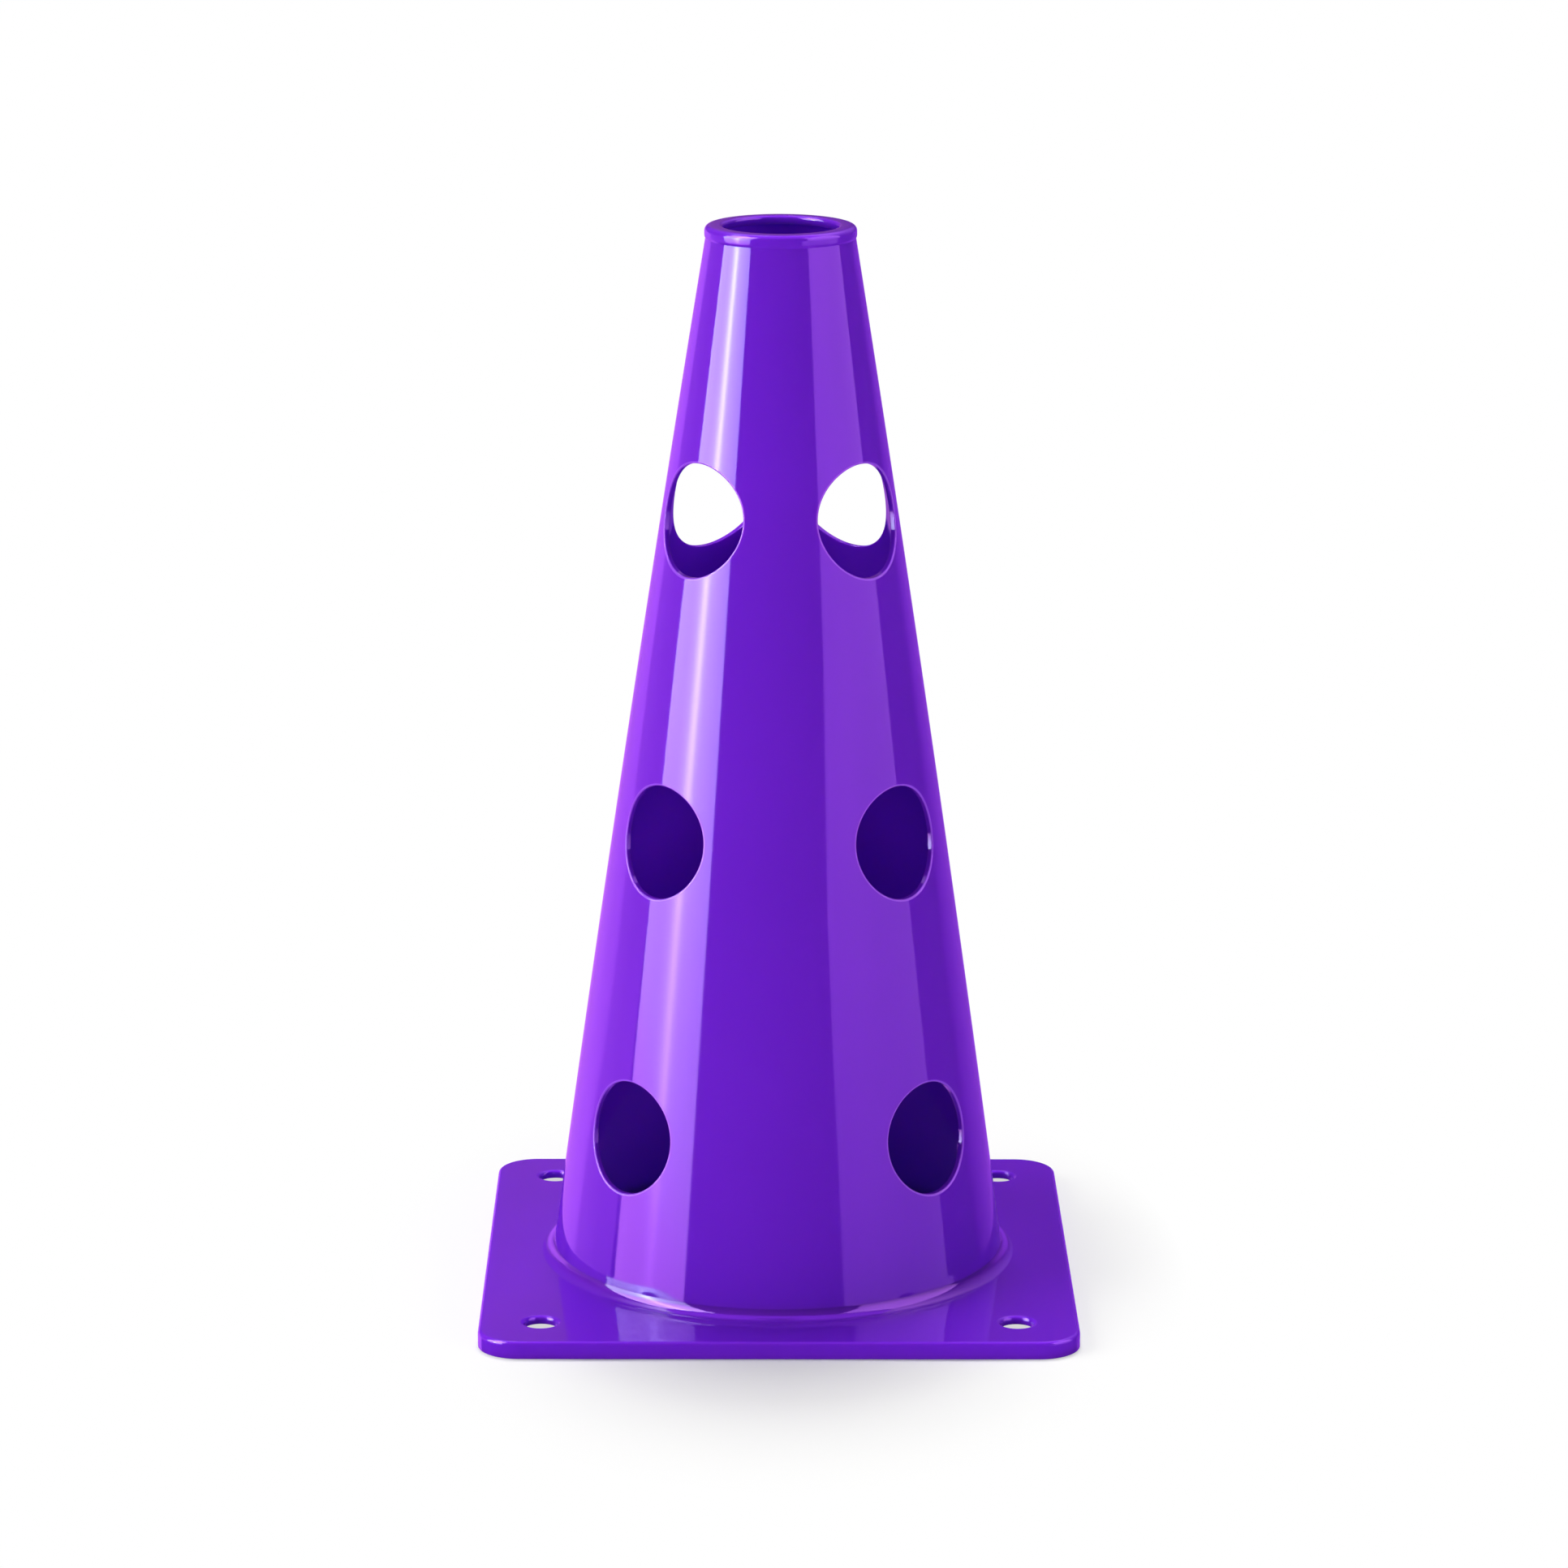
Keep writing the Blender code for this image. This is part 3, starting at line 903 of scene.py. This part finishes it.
def side_cards(light):
    """The tall cards on both sides, which the front of the cone mirrors as broad stripes, and
    a dim one on the far left. The left card has a narrow bright core."""
    card("left_card", [(-16, -48.6, -86), (-8, -48.0, -90), (3, -46.7, -95), (60, -45.6, -100)],
         light.left_card, tints=(WHITE, light.core_tint, light.foot_tint),
         across=((0, 0.41), (0.077, 0.44), (0.159, 0.53), (0.24, 0.60), (0.322, 0.70),
                 (0.383, 0.95), (0.43, 1.5), (0.464, 1.7), (0.51, 1.35), (0.56, 0.95),
                 (0.607, 0.70), (0.688, 0.56), (0.77, 0.50), (1, 0.47)),
         upward=((0, 0.35), (0.139, 0.53), (0.149, 0.56), (0.184, 0.66), (0.208, 0.72),
                 (0.222, 0.78), (0.2645, 0.90), (0.289, 1), (0.345, 1), (0.364, 0.95),
                 (0.383, 0.9), (0.45, 1), (0.6, 1.3), (1, 1.3)),
         contrast=((0, 0), (0.139, 0.15), (0.149, 0.18), (0.184, 0.5), (0.222, 0.58),
                   (0.2645, 0.76), (0.304, 0.85), (0.345, 1), (0.383, 1), (0.5, 0.5),
                   (1, 0.5)))
    card("right_card", [(-16, 33.2, 95), (-3, 32.6, 94), (1, 31.4, 94), (3.4, 31.1, 95),
                        (5.8, 33.4, 96), (8.2, 36.2, 98), (12, 38.9, 101), (15, 42, 102),
                        (60, 46, 105)],
         light.right_card, tints=(light.violet,),
         across=((0, 0.9), (0.3, 1), (1, 0.85)),
         upward=((0, 0.45), (0.14, 0.50), (0.184, 0.66), (0.23, 0.80), (0.29, 1), (0.36, 1.1),
                 (0.5, 2), (1, 2.4)))
    card("side_card", [(-18, -92, -133), (40, -100, -133)], light.side_card,
         CARD_DISTANCE * 1.1, tints=(light.left_violet,),
         across=((0, 1.3), (0.3, 1), (1, 0.8)),
         upward=((0, 1.5), (0.2, 1.35), (0.35, 1), (1, 1)))


def back_cards(light):
    """The cards behind and above, which the plate, the rim and the rounded edges mirror."""
    card("high_left_card", [(14, -108, -172), (70, -100, -176)], light.high_left_card,
         tints=(WHITE, WHITE, light.left_violet),
         upward=((0, 0.03), (0.3, 0.12), (0.6, 0.7), (1, 1)),
         contrast=((0, 0), (0.3, 0.1), (0.7, 1), (1, 1)))
    card("high_right_card", [(14, 172, 108), (70, 176, 100)], light.high_right_card,
         tints=(light.violet,),
         upward=((0, 0.05), (0.18, 0.25), (0.45, 1.0), (1, 1.0)))
    card("overhead_card", [(30, -150, -210), (45, -140, -220), (80, -140, -220)],
         light.overhead_card, CARD_DISTANCE * 1.2, tints=(light.violet,),
         upward=((0, 0.4), (0.3, 1), (1, 1)))
    card("low_left_card", [(-50, -128, -180), (-9.5, -127, -180), (-7, -121.5, -180),
                           (-5.5, -121.5, -180), (-1.4, -130.5, -180), (3.5, -131.5, -180),
                           (9, -132, -180)],
         light.low_left_card, tints=(light.left_violet,),
         across=((0, 1), (0.1, 0.98), (0.25, 0.81), (0.42, 0.66), (0.55, 0.54), (1, 0.45)))
    card("low_right_card", [(-50, 122, 180), (-9.3, 122, 180), (-6.3, 124, 180),
                            (-1, 128.5, 180), (3.8, 131, 180), (9, 132, 180)],
         light.low_right_card, tints=(light.deep_violet,),
         across=((0, 0.12), (0.05, 0.32), (0.13, 0.68), (0.24, 0.9), (0.4, 1), (1, 0.9)),
         upward=((0, 1), (0.6, 1), (0.65, 0.85), (1, 0.8)))
    card("back_card", [(8, -140, -220), (30, -140, -220)], light.back_card,
         CARD_DISTANCE * 1.3, tints=(light.rose,),
         across=((0, 1), (0.46, 1), (0.54, 0.35), (1, 0.3)))
    card("top_card", [(62, -180, 180), (85, -180, 180)], light.top_card, CARD_DISTANCE * 0.4,
         tints=(light.deep_violet,))
    card("surround", [(-70, -180, 180), (85, -180, 180)], light.surround, CARD_DISTANCE * 1.4)


def floor(light):
    """The floor, and glowing squares on it under the plate's corners, which only the camera
    sees: painted light, so that the floor shows pale through the peg holes where the plate
    shades it."""
    reach = FLOOR_REACH
    corners = [(-reach, -reach, 0), (reach, -reach, 0), (reach, reach, 0), (-reach, reach, 0)]
    stage_mesh("floor", corners, [(0, 1, 2, 3)], paper("floor_paper", light.floor_colour),
               ("glossy",))
    # Squares of painted light on the floor under the plate, where the plate shades it
    near, far, lift = PAINTED_LIGHT_UNDER_PLATE
    square = [(near, near), (far, near), (far, far), (near, far)]
    points = [(x * across, y * along, lift)
              for across in (-1, 1) for along in (-1, 1) for x, y in square]
    faces = np.arange(len(points)).reshape(-1, len(square)).tolist()
    stage_mesh("under_plate", points, faces, glowing("under_plate", light.under_plate),
               ("diffuse", "glossy", "transmission", "shadow"))


def sun(name, bearing, elevation, spread, strength):
    """A wide soft light from far away, which no reflection sees."""
    data = bpy.data.lights.new(name, "SUN")
    data.energy = strength
    data.angle = radians(spread)
    thing = placed(name, data)
    turn, rise = radians(bearing), radians(elevation)
    toward = Vector((sin(turn) * cos(rise), -cos(turn) * cos(rise), sin(rise)))
    thing.rotation_euler = (-toward).to_track_quat("-Z", "Y").to_euler()
    thing.visible_glossy = False


def room(light):
    """The room's even light."""
    world = bpy.data.worlds.new("room")
    shader = Shader(world)
    sockets = {"Color": (*WHITE, 1), "Strength": light.ambient}
    sky = shader.wire("ShaderNodeBackground", 0, {}, sockets)
    shader.node("ShaderNodeOutputWorld", {}, {"Surface": sky})
    bpy.context.scene.world = world
    bpy.context.scene.view_settings.view_transform = "Standard"


def camera(light):
    """The camera: turned from looking along +Y by its yaw, then down by its pitch, then
    rolled about its own line of sight."""
    data = bpy.data.cameras.new("camera")
    data.lens = light.lens
    data.sensor_width = CAMERA_SENSOR
    data.clip_start, data.clip_end = CAMERA_SIGHT
    thing = placed("camera", data)
    turn = (Matrix.Rotation(-CAMERA_YAW, 4, "Z") @ Matrix.Rotation(pi / 2 - CAMERA_PITCH, 4, "X")
            @ Matrix.Rotation(CAMERA_ROLL, 4, "Z"))
    thing.matrix_world = Matrix.Translation(CAMERA_PLACE) @ turn
    bpy.context.scene.camera = thing


def studio(light):
    """Floor, cards, lights, room and camera."""
    floor(light)
    side_cards(light)
    back_cards(light)
    for name, (bearing, elevation, spread) in SUNS.items():
        sun(name, bearing, elevation, spread, getattr(light, name))
    room(light)
    camera(light)


# Operators


class ConeShellOperator(bpy.types.Operator):
    """Build the tapered wall with its lip and pole holes, in place of the CAD cone body"""

    bl_idname = "training_cone.shell"
    bl_label = "Cone Wall"

    def execute(self, context):
        scene = context.scene
        sheet = cone_shell(scene.cone_sizes, scene.plate_sizes)
        finish = plastic(scene.plastic_finish, "cone_plastic")
        sheet.make("cone_shell", "cone_body", "cone_plastic", finish)
        return {"FINISHED"}


class BaseTrayOperator(bpy.types.Operator):
    """Build the square plate with its fillet and peg holes, in place of the CAD plate"""

    bl_idname = "training_cone.base"
    bl_label = "Base Plate"

    def execute(self, context):
        scene = context.scene
        sheet = base_tray(scene.cone_sizes, scene.plate_sizes)
        finish = plastic(scene.plastic_finish, "plate_plastic")
        sheet.make("base_tray", "base_plate", "plate_plastic", finish)
        return {"FINISHED"}


class StudioOperator(bpy.types.Operator):
    """Set up the floor, the cards, the lights and the camera"""

    bl_idname = "training_cone.studio"
    bl_label = "Studio"

    def execute(self, context):
        studio(context.scene.studio_light)
        return {"FINISHED"}


class TrainingConePanel(bpy.types.Panel):
    """Buttons that build each piece, with the sizes and levels that they use"""

    bl_idname = "VIEW3D_PT_training_cone"
    bl_label = "Training Cone"
    bl_space_type = "VIEW_3D"
    bl_region_type = "UI"
    bl_category = "Training Cone"

    def draw(self, context):
        for operator, groups in LISTED:
            box = self.layout.box()
            box.operator(operator.bl_idname)
            for group in groups:
                settings = getattr(context.scene, group)
                for name in settings.bl_rna.properties.keys():
                    if name not in ("name", "rna_type"):
                        box.prop(settings, name)


LISTED = (
    (ConeShellOperator, ("cone_sizes", "plastic_finish")),
    (BaseTrayOperator, ("plate_sizes",)),
    (StudioOperator, ("studio_light",)),
)
GROUPS = {
    "cone_sizes": ConeSizes,
    "plate_sizes": PlateSizes,
    "plastic_finish": PlasticFinish,
    "studio_light": StudioLight,
}
CLASSES = (*GROUPS.values(), ConeShellOperator, BaseTrayOperator, StudioOperator, TrainingConePanel)


def register():
    """Register the classes and hang each group of settings on the scene."""
    for kind in CLASSES:
        bpy.utils.register_class(kind)
    for name, kind in GROUPS.items():
        setattr(bpy.types.Scene, name, bpy.props.PointerProperty(type=kind))


def unregister():
    """Take the settings and the classes away again."""
    for name in GROUPS:
        delattr(bpy.types.Scene, name)
    for kind in reversed(CLASSES):
        bpy.utils.unregister_class(kind)


def main():
    """Build every piece and the studio."""
    register()
    bpy.ops.training_cone.shell()
    bpy.ops.training_cone.base()
    bpy.ops.training_cone.studio()


if __name__ == "__main__":
    main()
